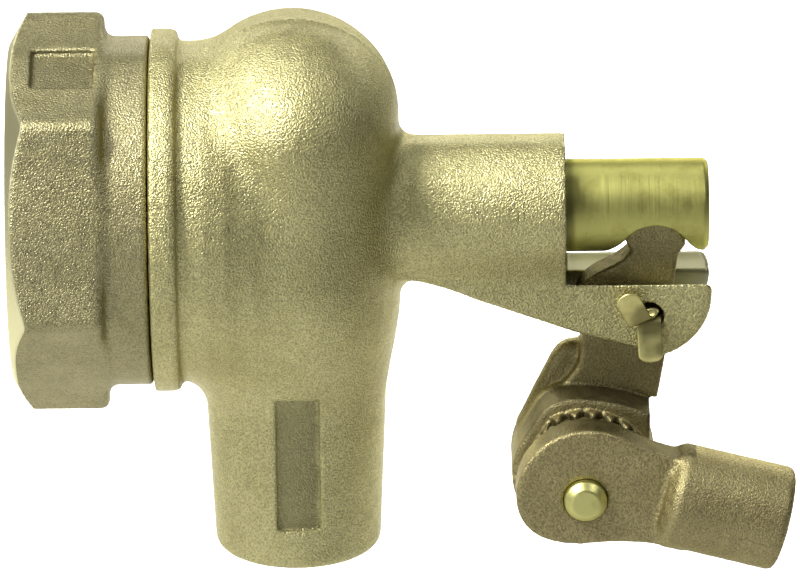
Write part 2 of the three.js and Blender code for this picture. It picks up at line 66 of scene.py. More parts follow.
def joint_point(name):
    joint = next(j for j in frame["joints"] if j["name"] == name)
    return [v / MM for v in joint["pos_m"]]


# ---- sizes, from the frame where it holds them ---------------------------------------
BODY_LOW, BODY_HIGH = box_mm("valve_body")
INLET_LOW, INLET_HIGH = box_mm("inlet_fitting")
PLUNGER_LOW, PLUNGER_HIGH = box_mm("plunger")
PIVOT_X, _, PIVOT_Z = joint_point("lever_pivot")
JOINT_X, _, JOINT_Z = joint_point("arm_adjust")
ARM_LOW, ARM_HIGH = box_mm("float_arm")

FLANGE_START = BODY_LOW[0]
FLANGE_END = FLANGE_START + 3.2
FLANGE_RADIUS = BODY_HIGH[1]
NECK_RADIUS = 20.8
SEAM_HEIGHT = 0.16
SEAM_WIDTH = 0.45
BULB_X = 34.6
BULB_RX = 13.1
BULB_RY = 17.5
DOME_BASE = 12.5
DOME_HEIGHT = 12.2
BULB_LOW = -10.5
SPOUT_TOP = -26.5
SPOUT_RADIUS = 11.05
SPOUT_TIP_RADIUS = 10.25
SPOUT_END = BODY_LOW[2]
SPOUT_BORE = 8.2
WALL = 2.7
CHAMBER_LOW = -24.0
SPOUT_BORE_TOP = -20.0
MOUTH_X = 29.0
MOUTH_HALF = 5.6
MOUTH_RADIUS = 13.6
SEAT_POCKET_END = 24.6
PLUNGER_BORE_START = 34.0
SLOT_TOP = -6.0
CLEARANCE = 0.3
RECESS_X = 34.8
RECESS_Z = -29.9
RECESS_WIDTH = 5.25
RECESS_HEIGHT = 18.1
RECESS_DEPTH = 0.75
SLEEVE_RADIUS = 8.9
SLEEVE_END = 68.0
PLUNGER_RADIUS = PLUNGER_HIGH[1]
PLUNGER_END = PLUNGER_HIGH[0]
EAR_OUTER = 5.9
EAR_INNER = 2.6
EAR_END = BODY_HIGH[0]
EAR_ARC_X = 77.5
EAR_ARC_Z = -9.76
EAR_ARC_RADIUS = 8.45
EAR_ARC_TOP = -8.36
CORNER = 1.5
CORNER_Z = -9.9
TROUGH_RADIUS = 10.15
PIN_RADIUS = 1.45
PIN_HOLE = 1.75
HEX_FLATS = 42.9
HEX_TURN = 46.1
HEX_LENGTH = 11.75
MARK_X = 6.85
MARK_LENGTH = 7.6
MARK_ALONG = -0.5
MARK_WIDTH = 7.9
MARK_DEPTH = 0.6
FACE_RADIUS = 20.6
COLLAR_END = 17.0
NOSE_RADIUS = 18.0
NOSE_END = INLET_HIGH[0]
PIPE_BORE = 15.8
PIPE_DEPTH = 14.0
PIPE_PITCH = 2.209
WATERWAY = 11.0
LEVER_HALF = 2.3
HEAD_X = 79.0
HEAD_Z = -4.87
HEAD_RADIUS = 3.8
NOTCH_GAP = 0.34
BOSS_RADIUS = 8.9
BOSS_FACE = -7.2
TEETH = 24
LEVER_TOOTH = 1.9
ARM_TOOTH = 1.1
TOOTHLESS_FROM = 7.5
EAR_BACK = BOSS_FACE - LEVER_TOOTH - 0.3 - ARM_TOOTH
EAR_FACE = EAR_BACK - 4.5
SCREW_RADIUS = 2.65
SOCKET_TILT = math.radians(15)
SOCKET_RADIUS = 6.5
SOCKET_START = 12.4
SOCKET_END = 25.4
SOCKET_Y = EAR_BACK - 2.1
SOCKET_RISE = 2.6
ROD_HOLE = 2.7
ROD_DEPTH = 11.0
ROD_PITCH = 1.27


# ---- distance fields: negative inside, in millimetres --------------------------------
def soft_min(a, b, k):
    h = np.clip(0.5 + 0.5 * (b - a) / k, 0, 1)
    return b + (a - b) * h - k * h * (1 - h)


def soft_max(a, b, k):
    return -soft_min(-a, -b, k)


def smooth(t):
    t = np.clip(t, 0, 1)
    return t * t * (3 - 2 * t)


def rectangle(u, v, width, height):
    return np.maximum(np.abs(u) - width / 2, np.abs(v) - height / 2)


def outline(u, v, points):
    """Signed distance to a closed polygon in the plane of u and v."""
    nearest = None
    inside = None
    for (ax, ay), (bx, by) in zip(points, points[1:] + points[:1]):
        ex, ey = bx - ax, by - ay
        wx, wy = u - ax, v - ay
        t = np.clip((wx * ex + wy * ey) / (ex * ex + ey * ey), 0, 1)
        d = (wx - ex * t) ** 2 + (wy - ey * t) ** 2
        nearest = d if nearest is None else np.minimum(nearest, d)
        if ay != by:
            crossed = ((ay > v) != (by > v)) & (u < ex * (v - ay) / (by - ay) + ax)
            inside = crossed if inside is None else inside ^ crossed
    return np.where(inside, -1, 1) * np.sqrt(nearest)


def turned(x, r, profile):
    """Distance to a solid of revolution, from its (along, radius) points."""
    far = -60
    ends = [(profile[-1][0], far), (profile[0][0], far)]
    return outline(x, r, list(profile) + ends)


def arc(cx, cy, radius, start, stop, steps=12):
    angles = np.radians(np.linspace(start, stop, steps + 1))
    return [(cx + radius * math.cos(a), cy + radius * math.sin(a)) for a in angles]


def bend(a, b, c, steps=8):
    """Points of the quadratic curve from a to c that is pulled towards b."""
    ts = np.linspace(0, 1, steps + 1)
    return [
        tuple((1 - t) ** 2 * a[i] + 2 * t * (1 - t) * b[i] + t * t * c[i] for i in (0, 1))
        for t in ts
    ]


def saw(turns):
    """Triangle wave between 0 and 1, with period 1."""
    return np.abs(2 * (turns - np.floor(turns + 0.5)))


def waves(x, y, z, wavelength, seed, count=24):
    """A smooth random field of about unit size, a sum of plane waves."""
    rng = np.random.default_rng(seed)
    total = 0
    for _ in range(count):
        direction = rng.normal(size=3)
        direction *= 2 * math.pi / wavelength * rng.uniform(0.7, 1.3) / np.linalg.norm(direction)
        phase = rng.uniform(0, 2 * math.pi)
        total = total + np.cos(x * direction[0] + y * direction[1] + z * direction[2] + phase)
    return total / math.sqrt(count / 2)


# ---- meshing -------------------------------------------------------------------------
def finish_piece(name, mesh, material, body, node):
    mesh.materials.append(material)
    piece = bpy.data.objects.new(name, mesh)
    bpy.context.scene.collection.objects.link(piece)
    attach(piece, body)
    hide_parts(node)
    return piece


def field_mesh(name, field, low, high, cell, sand=0.0, seed=1):
    """The zero surface of field as a mesh, with its machined share as an attribute.

    field gives (distance, machined, dark): machined is above 0 where a cutter made the
    surface, and dark is 1 where shade is painted into the colour.
    """
    cell *= COARSE
    low = np.array(low, np.float32) - 2.5 * cell
    counts = np.ceil((np.array(high) + 2.5 * cell - low) / cell).astype(int) + 1
    axes = [low[i] + cell * np.arange(counts[i], dtype=np.float32) for i in range(3)]
    x, y, z = np.meshgrid(*axes, indexing="ij", sparse=True)
    distance = field(x, y, z)[0]
    grid = openvdb.FloatGrid(background=3 * cell)
    grid.copyFromArray(np.ascontiguousarray(np.clip(distance, -3 * cell, 3 * cell), np.float32))
    points, triangles, quads = grid.convertToPolygons(isovalue=0.0, adaptivity=0.0)
    points = points.astype(np.float32) * cell + low
    mesh = bpy.data.meshes.new(name)
    mesh.from_pydata(points * MM, [], quads.tolist() + triangles.tolist())
    mesh.polygons.foreach_set("use_smooth", np.ones(len(mesh.polygons), bool))
    mesh.update()
    normals = np.empty(len(points) * 3, np.float32)
    mesh.vertices.foreach_get("normal", normals)
    normals = normals.reshape(-1, 3)
    px, py, pz = points.T
    _, machined, dark = field(px, py, pz)
    if sand:
        rough = waves(px, py, pz, 3.1, seed) * 0.55 + waves(px, py, pz, 1.5, seed + 1) * 0.45
        amount = sand * rough * np.clip(0.5 - machined * 4, 0, 1)
        points = points + normals * amount[:, None]
        mesh.vertices.foreach_set("co", (points * MM).ravel())
    for key, values in (("machined", machined), ("dark", dark)):
        attribute = mesh.attributes.new(key, "FLOAT", "POINT")
        attribute.data.foreach_set("value", values.astype(np.float32))
    mesh.update()
    return mesh


# ---- materials -----------------------------------------------------------------------
class Nodes:
    """A material's node tree, with short calls to add and join its nodes."""

    def __init__(self, name):
        self.material = bpy.data.materials.new(name)
        self.material.use_nodes = True
        self.tree = self.material.node_tree
        self.shader = self.tree.nodes["Principled BSDF"]
        self.shader.inputs["Metallic"].default_value = 1.0
        self.shader.inputs["Specular Tint"].default_value = (0.62, 0.58, 0.40, 1)

    def add(self, kind, inputs=None, **settings):
        node = self.tree.nodes.new(kind)
        for key, value in settings.items():
            setattr(node, key, value)
        for key, value in (inputs or {}).items():
            self.plug(value, node.inputs[key])
        return node

    def plug(self, value, socket):
        if isinstance(value, bpy.types.NodeSocket):
            self.tree.links.new(value, socket)
        else:
            socket.default_value = value

    def place(self, scale=1.0, stretch=(1, 1, 1)):
        """Object coordinates in millimetres, times scale and stretch."""
        coord = self.add("ShaderNodeTexCoord").outputs["Object"]
        size = [s * scale / MM for s in stretch]
        return self.add("ShaderNodeMapping", {"Vector": coord, "Scale": size}).outputs["Vector"]

    def noise(self, vector, scale=1.0, detail=2.0, roughness=0.5):
        return self.add(
            "ShaderNodeTexNoise",
            {"Vector": vector, "Scale": scale, "Detail": detail, "Roughness": roughness},
        ).outputs["Fac"]

    def math(self, operation, a, b=0.5):
        node = self.add("ShaderNodeMath", operation=operation)
        self.plug(a, node.inputs[0])
        self.plug(b, node.inputs[1])
        return node.outputs[0]

    def ramp(self, value, low, high, to_low=0.0, to_high=1.0):
        inputs = {
            "Value": value, "From Min": low, "From Max": high, "To Min": to_low, "To Max": to_high,
        }
        return self.add("ShaderNodeMapRange", inputs).outputs[0]

    def mix(self, share, a, b):
        node = self.add("ShaderNodeMix", data_type="RGBA")
        self.plug(share, node.inputs[0])
        self.plug(a if isinstance(a, bpy.types.NodeSocket) else (*a, 1), node.inputs[6])
        self.plug(b if isinstance(b, bpy.types.NodeSocket) else (*b, 1), node.inputs[7])
        return node.outputs[2]

    def blend(self, share, a, b):
        node = self.add("ShaderNodeMix", data_type="FLOAT")
        self.plug(share, node.inputs[0])
        self.plug(a, node.inputs[2])
        self.plug(b, node.inputs[3])
        return node.outputs[0]

    def bump(self, height, distance, strength=1.0):
        inputs = {"Height": height, "Distance": distance * MM, "Strength": strength}
        normal = self.add("ShaderNodeBump", inputs).outputs["Normal"]
        self.tree.links.new(normal, self.shader.inputs["Normal"])
        self.tree.links.new(normal, self.shader.inputs["Coat Normal"])


def cast_bronze(name, pale, deep, machined, roughness, depth, gloss):
    """Shot-blasted sand casting, with smooth faces where it was machined."""
    n = Nodes(name)
    place = n.place()
    grain = n.noise(place, 4.3, 1.0, 0.6)
    pits = n.noise(place, 0.8, 1.0)
    broad = n.noise(place, 0.16, 3.0)
    cut = n.add("ShaderNodeAttribute", attribute_name="machined").outputs["Fac"]
    dark = n.add("ShaderNodeAttribute", attribute_name="dark").outputs["Fac"]
    mask = n.ramp(cut, -0.03, 0.03)
    colour = n.mix(n.ramp(broad, 0.35, 0.65), deep, pale)
    # Dark tone for the grain's pits and for painted shade.
    pits_and_painted_shade = tuple(c * 0.3 for c in deep)
    colour = n.mix(n.ramp(grain, 0.60, 0.36, 0.0, 0.52), colour, pits_and_painted_shade)
    # Painted shade: the dark attribute darkens the colour towards this tone.
    colour = n.mix(n.math("MULTIPLY", dark, 0.92), colour, pits_and_painted_shade)
    n.plug(n.mix(mask, colour, machined), n.shader.inputs["Base Color"])
    rough = n.ramp(pits, 0.3, 0.7, roughness - 0.08, roughness + 0.08)
    n.plug(n.blend(mask, rough, 0.42), n.shader.inputs["Roughness"])
    n.shader.inputs["Coat Weight"].default_value = gloss
    n.shader.inputs["Coat Roughness"].default_value = 0.30
    turning = n.noise(n.place(1.0, (6, 0.15, 0.15)), 1.0, 2.0)
    n.bump(n.blend(mask, grain, n.math("MULTIPLY", turning, 0.06)), depth)
    return n.material


def turned_brass(name, colour, dark, roughness, stretch=(7, 0.1, 0.1)):
    """Brass from the lathe: fine rings around the axis, slight stains."""
    n = Nodes(name)
    rings = n.noise(n.place(1.0, stretch), 1.0, 3.0, 0.6)
    stain = n.noise(n.place(), 0.35, 4.0, 0.6)
    # Painted shade: the dark attribute mixes in a tone darker than the stains.
    pits_and_painted_shade = n.add("ShaderNodeAttribute", attribute_name="dark").outputs["Fac"]
    stained = n.mix(n.ramp(stain, 0.5, 0.75), colour, dark)
    stained = n.mix(pits_and_painted_shade, stained, tuple(c * 0.4 for c in dark))
    n.plug(stained, n.shader.inputs["Base Color"])
    rough = n.ramp(rings, 0.3, 0.7, roughness - 0.06, roughness + 0.08)
    n.plug(rough, n.shader.inputs["Roughness"])
    n.bump(rings, 0.012)
    return n.material


def plain_rubber(name, colour, roughness):
    n = Nodes(name)
    n.shader.inputs["Metallic"].default_value = 0.0
    speck = n.noise(n.place(), 3.0, 3.0)
    lighter = tuple(min(1, c * 1.8 + 0.01) for c in colour)
    n.plug(n.mix(n.ramp(speck, 0.4, 0.7), colour, lighter), n.shader.inputs["Base Color"])
    n.shader.inputs["Roughness"].default_value = roughness
    n.bump(speck, 0.02)
    return n.material


BODY_TONES = (0.71, 0.66, 0.32), (0.63, 0.58, 0.27), (0.43, 0.415, 0.25)
INLET_TONES = (0.49, 0.445, 0.235), (0.43, 0.39, 0.195), (0.80, 0.765, 0.46)
LEVER_TONES = (0.45, 0.39, 0.19), (0.39, 0.335, 0.16), (0.50, 0.465, 0.24)
MAT_BODY = cast_bronze("body_bronze", *BODY_TONES, 0.47, 0.18, 0.40)
MAT_INLET = cast_bronze("inlet_bronze", *INLET_TONES, 0.50, 0.15, 0.40)
MAT_LEVER = cast_bronze("lever_bronze", *LEVER_TONES, 0.56, 0.12, 0.15)
MAT_BRASS = turned_brass("turned_brass", (0.54, 0.525, 0.165), (0.40, 0.38, 0.11), 0.46)
MAT_BRASS_Y = turned_brass(
    "turned_brass_y", (0.64, 0.62, 0.24), (0.48, 0.45, 0.16), 0.40, (0.1, 7, 0.1))
MAT_PIN = turned_brass("drawn_brass", (0.78, 0.72, 0.30), (0.54, 0.48, 0.19), 0.38, (0.4, 0.4, 0.4))
MAT_RUBBER = plain_rubber("black_rubber", (0.02, 0.02, 0.022), 0.6)
MAT_FIBRE = plain_rubber("gasket_fibre", (0.035, 0.028, 0.022), 0.8)


# ---- body ----------------------------------------------------------------------------
# A piece's field gives three grids: the distance, how machined the surface is (above 0
# where a tool cut the casting) and how much painted shade darkens it.
def bulb_field(x, y, z):
    """Dome, chamber and spout round one vertical axis."""
    down = smooth((BULB_LOW - z) / (BULB_LOW - SPOUT_TOP))
    down_y = smooth((-4 - z) / (-4 - SPOUT_TOP))
    taper = np.clip((SPOUT_TOP - z) / (SPOUT_TOP - SPOUT_END), 0, 1)
    draft = (SPOUT_RADIUS - SPOUT_TIP_RADIUS) * taper
    rx = BULB_RX + (SPOUT_RADIUS - BULB_RX) * down - draft
    ry = BULB_RY + (SPOUT_RADIUS - BULB_RY) * down_y - draft
    lift = np.maximum(z - DOME_BASE, 0)
    dx = x - BULB_X
    k0 = np.sqrt((dx / rx) ** 2 + (y / ry) ** 2 + (lift / DOME_HEIGHT) ** 2) + 1e-6
    k1 = np.sqrt((dx / rx**2) ** 2 + (y / ry**2) ** 2 + (lift / DOME_HEIGHT**2) ** 2) + 1e-6
    return k0 * (k0 - 1) / k1


def bracket_outline():
    lower = [(48, -3), (48, -6.4), (57.2, -10.36), (69.3, -14.76), (80.2, -17.96)]
    arc_x, arc_z = lower[-1]
    from_angle = math.degrees(math.atan2(arc_z - EAR_ARC_Z, arc_x - EAR_ARC_X))
    to_angle = math.degrees(math.atan2(EAR_ARC_TOP - EAR_ARC_Z, EAR_END - EAR_ARC_X))
    round_end = arc(EAR_ARC_X, EAR_ARC_Z, EAR_ARC_RADIUS, from_angle, to_angle, 16)
    return lower + round_end + [(EAR_END, -3)]


def body_field(x, y, z):
    r = np.sqrt(y**2 + z**2)
    bulb = bulb_field(x, y, z)
    neck = turned(x, r, [
        (FLANGE_START + 0.2, NECK_RADIUS), (24.0, NECK_RADIUS), (26.5, NECK_RADIUS - 0.5),
        (29.5, NECK_RADIUS - 2.0), (33, NECK_RADIUS - 5.4), (36.5, 10),
    ])
    flange_middle = (FLANGE_START + FLANGE_END) / 2
    flange_rim = r - FLANGE_RADIUS - 0.1 + 0.28 * np.maximum(x - FLANGE_END + 0.9, 0)
    flange = soft_max(flange_rim, np.abs(x - flange_middle) - 1.6, 0.35)
    sleeve = np.maximum(r - SLEEVE_RADIUS, np.maximum(30 - x, x - SLEEVE_END - 1))
    bracket = soft_max(outline(x, z, bracket_outline()), np.abs(y) - EAR_OUTER, 0.7)
    seam = SEAM_HEIGHT * np.exp(-((y / SEAM_WIDTH) ** 2)) * smooth((z - 14) / 4)
    spout = soft_max(bulb - seam, SPOUT_END - z, 1.1)
    cast = soft_min(neck, spout, 2.2 + 3.3 * smooth((12 - z) / 16))
    cast = soft_min(cast, flange, 0.9)
    cast = soft_min(cast, sleeve, 2.6)
    cast = soft_min(cast, bracket, 2.0)
    panel = rectangle(x - RECESS_X, z - RECESS_Z, RECESS_WIDTH, RECESS_HEIGHT)
    panel = np.maximum(panel, y)
    # Painted shade on the recess floor.
    dark = 0.7 * np.clip(0.5 - panel * 1.5, 0, 1) * np.clip(-bulb - 0.2, 0, 0.6) / 0.6
    cast = soft_max(cast, -soft_max(panel, -(cast + RECESS_DEPTH), 0.2), 0.15)

    spout_bore = np.sqrt((x - BULB_X) ** 2 + y**2) - SPOUT_BORE
    chamber = np.minimum(
        np.maximum(bulb + WALL, CHAMBER_LOW - z), np.maximum(spout_bore, z - SPOUT_BORE_TOP))
    mouth = np.maximum(r - MOUTH_RADIUS, np.abs(x - MOUTH_X) - MOUTH_HALF)
    chamber = np.minimum(chamber, mouth)
    cast = np.maximum(cast, -chamber)

    pocket = np.maximum(r - NOSE_RADIUS - CLEARANCE, x - SEAT_POCKET_END)
    bore = np.maximum(r - PLUNGER_RADIUS - CLEARANCE, PLUNGER_BORE_START - x)
    spot_face = np.maximum(r - TROUGH_RADIUS, SLEEVE_END - x)
    slot = np.maximum(np.maximum(np.abs(y) - EAR_INNER, SLEEVE_END - 0.8 - x), z - SLOT_TOP)
    # Painted shade on the slot's inner faces and floor between the ears.
    dark = np.maximum(dark, smooth((79.5 - x) / 3.5) * smooth((x - 66) / 1.0)
                      * np.clip(EAR_INNER + 0.25 - np.abs(y), 0, 0.15) / 0.15 * (z < -7))
    corner = CORNER - np.sqrt((x - EAR_END + CORNER) ** 2 + (z - CORNER_Z) ** 2)
    far_corner = np.where((y > 0) & (x > EAR_END - CORNER) & (z > CORNER_Z), corner, 9.0)
    hole = np.maximum(np.sqrt((x - PIVOT_X) ** 2 + (z - PIVOT_Z) ** 2) - PIN_HOLE, np.abs(y) - 9)
    cutters = np.minimum(np.minimum(pocket, bore), np.minimum(spot_face, hole))
    cutters = np.minimum(np.minimum(cutters, slot), far_corner)
    smooth_cut = np.where((slot < 0.3) & (x < 77) & (z < -9), -1.0, -cutters - cast)
    return np.maximum(cast, -cutters), smooth_cut, dark


# ---- inlet ---------------------------------------------------------------------------
def thread_depth(along, y, z, pitch, depth):
    turns = along / pitch - np.arctan2(z, y) / (2 * math.pi)
    return depth * saw(turns)


def inlet_field(x, y, z):
    r = np.sqrt(y**2 + z**2)
    sides = None
    for k in range(3):
        a = math.radians(HEX_TURN + 30 + 60 * k)
        side = np.abs(-y * math.cos(a) + z * math.sin(a)) - HEX_FLATS / 2
        sides = side if sides is None else soft_max(sides, side, 0.9)
    hexagon = soft_max(sides, x - HEX_LENGTH, 1.2)
    collar = soft_max(r - HEX_FLATS / 2, x - COLLAR_END - 0.15, 0.25)
    nose = np.maximum(r - NOSE_RADIUS, x - NOSE_END)
    cast = soft_min(hexagon, collar, 1.3)
    a = math.radians(HEX_TURN + 30)
    out = -y * math.cos(a) + z * math.sin(a)
    along = y * math.sin(a) + z * math.cos(a)
    panel = rectangle(x - MARK_X, along - MARK_ALONG, MARK_LENGTH, MARK_WIDTH)
    # Painted shade on the mark's recess floor.
    dark = 0.4 * np.clip(0.5 - panel * 1.5, 0, 1) * np.clip((HEX_FLATS / 2 - out) * 3, 0, 1)
    cast = soft_max(cast, -np.maximum(panel, HEX_FLATS / 2 - MARK_DEPTH - out), 0.2)
    cast = np.minimum(cast, nose)
    slope = math.radians(60)
    cone = -x * math.sin(slope) + (r - FACE_RADIUS) * math.cos(slope)
    tools = np.maximum(cone, -x)
    thread = thread_depth(x, y, z, PIPE_PITCH, 0.95)
    mouth = PIPE_BORE + np.clip(1.4 - x, 0, 3)
    bore = np.maximum(r - np.maximum(mouth - 0.3, PIPE_BORE - 0.35 + thread), x - PIPE_DEPTH)
    bore = np.minimum(bore, np.maximum(r - WATERWAY, x - 40))
    tools = np.maximum(tools, -bore)
    return np.maximum(cast, tools), tools - cast, dark


# ---- plunger -------------------------------------------------------------------------
def plunger_field(x, y, z):
    r = np.sqrt(y**2 + z**2)
    end = (x - PLUNGER_END + 0.55 + r - PLUNGER_RADIUS) * math.sqrt(0.5)
    length = np.maximum(x - PLUNGER_END, PLUNGER_LOW[0] - x)
    rod = np.maximum(np.maximum(r - PLUNGER_RADIUS, end), length)
    half = HEAD_RADIUS + NOTCH_GAP
    crown = np.sqrt((x - HEAD_X) ** 2 + (z - HEAD_Z) ** 2) - half
    flare = outline(x, z, [
        (HEAD_X - half * 0.9, HEAD_Z + 1.8), (HEAD_X - 6.6, -PLUNGER_RADIUS - 0.1),
        (HEAD_X - 6.6, -9), (HEAD_X + 6.0, -9), (HEAD_X + 6.0, -PLUNGER_RADIUS - 0.1),
        (HEAD_X + half * 0.9, HEAD_Z + 1.7),
    ])
    # Adding 0 * y, or 0 * r, spreads a field over the whole grid.
    notch = soft_min(crown, flare, 0.6) + 0 * y
    # Painted shadow of the sleeve on the rod at the sleeve's end.
    pits_and_painted_shade = 0.75 * smooth((SLEEVE_END + 1.5 - x) / 1.0) + 0 * r
    return soft_max(rod, -notch, 0.15), 0 * (r + x) + 1.0, pits_and_painted_shade


# ---- lever ---------------------------------------------------------------------------
def lever_plate():
    points = [(81.6, -7.8), (81.9, -5.9)] + arc(HEAD_X, HEAD_Z, HEAD_RADIUS, 4, 166, 28)
    points += bend((76.1, -5.3), (75.0, -6.9), (72.3, -8.0))
    points += bend((72.3, -8.0), (69.4, -9.6), (69.2, -12.0))[1:]
    points += [(70.0, -16.6), (69.7, -19.8)]
    points += bend((69.7, -19.8), (69.2, -21.4), (67.7, -22.9))[1:]
    points += bend((67.7, -22.9), (73.6, -22.8), (79.3, -25.1))[1:]
    return points + [(80.3, -19.4), (81.4, -10.5)]


def lever_web():
    points = [(72.0, -17.8), (68.6, -18.2)] + bend((68.6, -18.2), (67.2, -18.4), (66.3, -20.0))[1:]
    return points + [(64.1, -24.4), (61.9, -29.2), (JOINT_X, JOINT_Z), (78.2, -26), (78.2, -20)]


def boss_outline():
    points = bend((78.3, -25.0), (73.6, -22.9), (68.4, -23.0))
    points += bend(points[-1], (65.6, -23.2), (64.2, -25.6))[1:] + [(62.1, -29.2)]
    return points + arc(JOINT_X, JOINT_Z, BOSS_RADIUS, 155, 384, 36)


def tooth_wave(x, z, phase):
    turns = np.arctan2(z - JOINT_Z, x - JOINT_X) / (2 * math.pi) * TEETH - phase
    return saw(turns)


def tooth_limit(x, z):
    """Above 0 on the side towards the body, where the joint's ring has no teeth."""
    return (JOINT_X - x) * 0.87 + (z - JOINT_Z) * 0.5 - TOOTHLESS_FROM


def lever_field(x, y, z):
    edge = outline(x, z, lever_plate())
    plate = soft_max(edge, np.abs(y) - LEVER_HALF, 0.6)
    web = soft_max(outline(x, z, lever_web()), np.abs(y - 0.9) - 1.4, 1.2)
    rim = outline(x, z, boss_outline())
    boss = soft_max(rim, np.maximum(BOSS_FACE - y, y - LEVER_HALF), 0.6)
    ring = np.sqrt((x - JOINT_X) ** 2 + (z - JOINT_Z) ** 2)
    face = BOSS_FACE - LEVER_TOOTH * tooth_wave(x, z, 0)
    teeth = soft_max(ring - BOSS_RADIUS + 0.1, SCREW_RADIUS + 2.0 - ring, 0.2)
    teeth = np.maximum(teeth, np.maximum(JOINT_Z - 7.9 - z, tooth_limit(x, z)))
    teeth = soft_max(teeth, np.maximum((face - y) * 0.6, y - BOSS_FACE - 1), 0.15)
    cast = soft_min(soft_min(plate, web, 0.5), boss, 0.5)
    cast = np.minimum(cast, teeth)
    pin = np.sqrt((x - PIVOT_X) ** 2 + (z - PIVOT_Z) ** 2) - PIN_HOLE
    tools = np.minimum(np.maximum(pin, np.abs(y) - 5), ring - SCREW_RADIUS - 0.3)
    # Painted shade on the upper front rim of the boss.
    dark = np.clip((rim + 0.5) / 0.4, 0, 1) * smooth((z + 30) / 4)
    dark = dark * smooth((-2.0 - y) / 0.5) * (rim < 0.3)
    # Painted shade on the plate's edges inside the bracket slot.
    flank = np.clip((edge + 0.6) / 0.4, 0, 1) * smooth((z + 14) / 2)
    flank = flank * smooth((77.5 - x) / 1.5) * (np.abs(y) < 1.9)
    dark = np.maximum(dark, flank)
    # Painted shade in the gaps between the teeth.
    valley = np.clip((BOSS_FACE - 0.2 - y) / 0.5, 0, 1) * smooth((0.9 - tooth_wave(x, z, 0)) / 0.4)
    return np.maximum(cast, -tools), -tools - cast, np.maximum(dark, valley)


# ---- float arm -----------------------------------------------------------------------
def arm_outline():
    jx, jz = JOINT_X, JOINT_Z
    points = bend((jx + 12.6, jz + 4.9), (jx + 8.6, jz + 5.6), (jx + 5.4, jz + 7.6))
    points += arc(jx + 0.4, jz + 0.1, 8.95, 56, 178, 24)
    points += bend(points[-1], (jx - 8.5, jz - 5.9), (jx - 0.6, jz - 6.1))[1:]
    points += bend((jx - 0.6, jz - 6.1), (jx + 4.4, jz - 5.4), (jx + 9.4, jz - 6.3))[1:]
    return points + [(jx + 12.0, jz - 6.8)]


def arm_field(x, y, z):
    rim = outline(x, z, arm_outline())
    ear = soft_max(rim, np.abs(y - (EAR_FACE + EAR_BACK) / 2) - 2.25, 0.45)
    ring = np.sqrt((x - JOINT_X) ** 2 + (z - JOINT_Z) ** 2)
    face = EAR_BACK + ARM_TOOTH * tooth_wave(x, z, 0.5)
    teeth = soft_max(ring - BOSS_RADIUS + 0.1, SCREW_RADIUS + 2.0 - ring, 0.2)
    teeth = np.maximum(teeth, np.maximum(rim + 0.1, tooth_limit(x, z)))
    teeth = soft_max(teeth, np.maximum((y - face) * 0.6, EAR_BACK - 1 - y), 0.15)
    dx, dz = x - JOINT_X, z - JOINT_Z - SOCKET_RISE
    along = dx * math.cos(SOCKET_TILT) - dz * math.sin(SOCKET_TILT)
    up = dx * math.sin(SOCKET_TILT) + dz * math.cos(SOCKET_TILT)
    r = np.sqrt(up**2 + (y - SOCKET_Y) ** 2)
    barrel = turned(along, r, [
        (SOCKET_START - 2.4, SOCKET_RADIUS - 2.2), (SOCKET_START - 1.6, SOCKET_RADIUS - 0.5),
        (SOCKET_START - 0.8, SOCKET_RADIUS - 0.05),
        (SOCKET_END - 0.9, SOCKET_RADIUS), (SOCKET_END - 0.35, SOCKET_RADIUS - 0.25),
        (SOCKET_END - 0.08, SOCKET_RADIUS - 0.8), (SOCKET_END, SOCKET_RADIUS - 2.4),
    ])
    cast = np.minimum(soft_min(ear, barrel, 0.8), teeth)
    thread = 0.5 * saw(along / ROD_PITCH - np.arctan2(up, y - SOCKET_Y) / (2 * math.pi))
    mouth = np.clip(along - SOCKET_END + 0.7, 0, 2)
    wall = np.maximum(ROD_HOLE - 0.25 + thread, ROD_HOLE + mouth)
    bore = np.maximum(r - wall, SOCKET_END - ROD_DEPTH - along)
    tools = np.minimum(bore, ring - SCREW_RADIUS - 0.06)
    # Painted shade on the ear's upper rim beside the joint.
    dark = np.clip((rim + 0.5) / 0.4, 0, 1) * smooth((up - 1.0) / 2.5) * (along < SOCKET_START)
    return np.maximum(cast, -tools), -tools - cast, dark * smooth((y - EAR_FACE) / 0.8)


# ---- clamp screw ---------------------------------------------------------------------
SCREW_LOW, SCREW_HIGH = box_mm("clamp_screw")
SCREW_END = SCREW_LOW[1]
HEAD_TOP = SCREW_HIGH[1]
HEAD_HEIGHT = 3.2
HEAD_HALF = 4.6 * math.cos(math.pi / 6)


def screw_field(x, y, z):
    dx, dz = x - JOINT_X, z - JOINT_Z
    r = np.sqrt(dx**2 + dz**2)
    flats = np.maximum(np.abs(dz), np.abs(dz * 0.5 + dx * math.sqrt(0.75)))
    flats = np.maximum(flats, np.abs(dz * 0.5 - dx * math.sqrt(0.75))) - HEAD_HALF
    head = np.maximum(flats, np.maximum(y - HEAD_TOP, HEAD_TOP - HEAD_HEIGHT - y))
    head = soft_max(head, (r - 4.4 + (y - HEAD_TOP) * 1.7) * 0.5, 0.2)
    thread = 0.22 * saw(y / ROD_PITCH - np.arctan2(dz, dx) / (2 * math.pi))
    shank = np.maximum(r - SCREW_RADIUS + thread * (y < SCREW_END + 0.75), y - HEAD_TOP + 1)
    chamfer = (r - 1.75 - (y - SCREW_END) * 1.1) * 0.67
    shank = soft_max(soft_max(shank, chamfer, 0.15), SCREW_END - y, 0.1)
    return np.minimum(head, shank), 0 * (r + y) + 1.0, 0 * (r + y)


# ---- split pin -----------------------------------------------------------------------
LEG_TURN = math.radians(74)
LEG_FLATTEN = 0.6
BEND_RADIUS = 1.12
LEGS = ((115, 3.6, 1.25, -0.75), (-87, 3.65, -0.1, 0.0))
TIP_ROUND = 1.0
EYE_RADIUS = 2.0
EYE_WIRE = 0.75


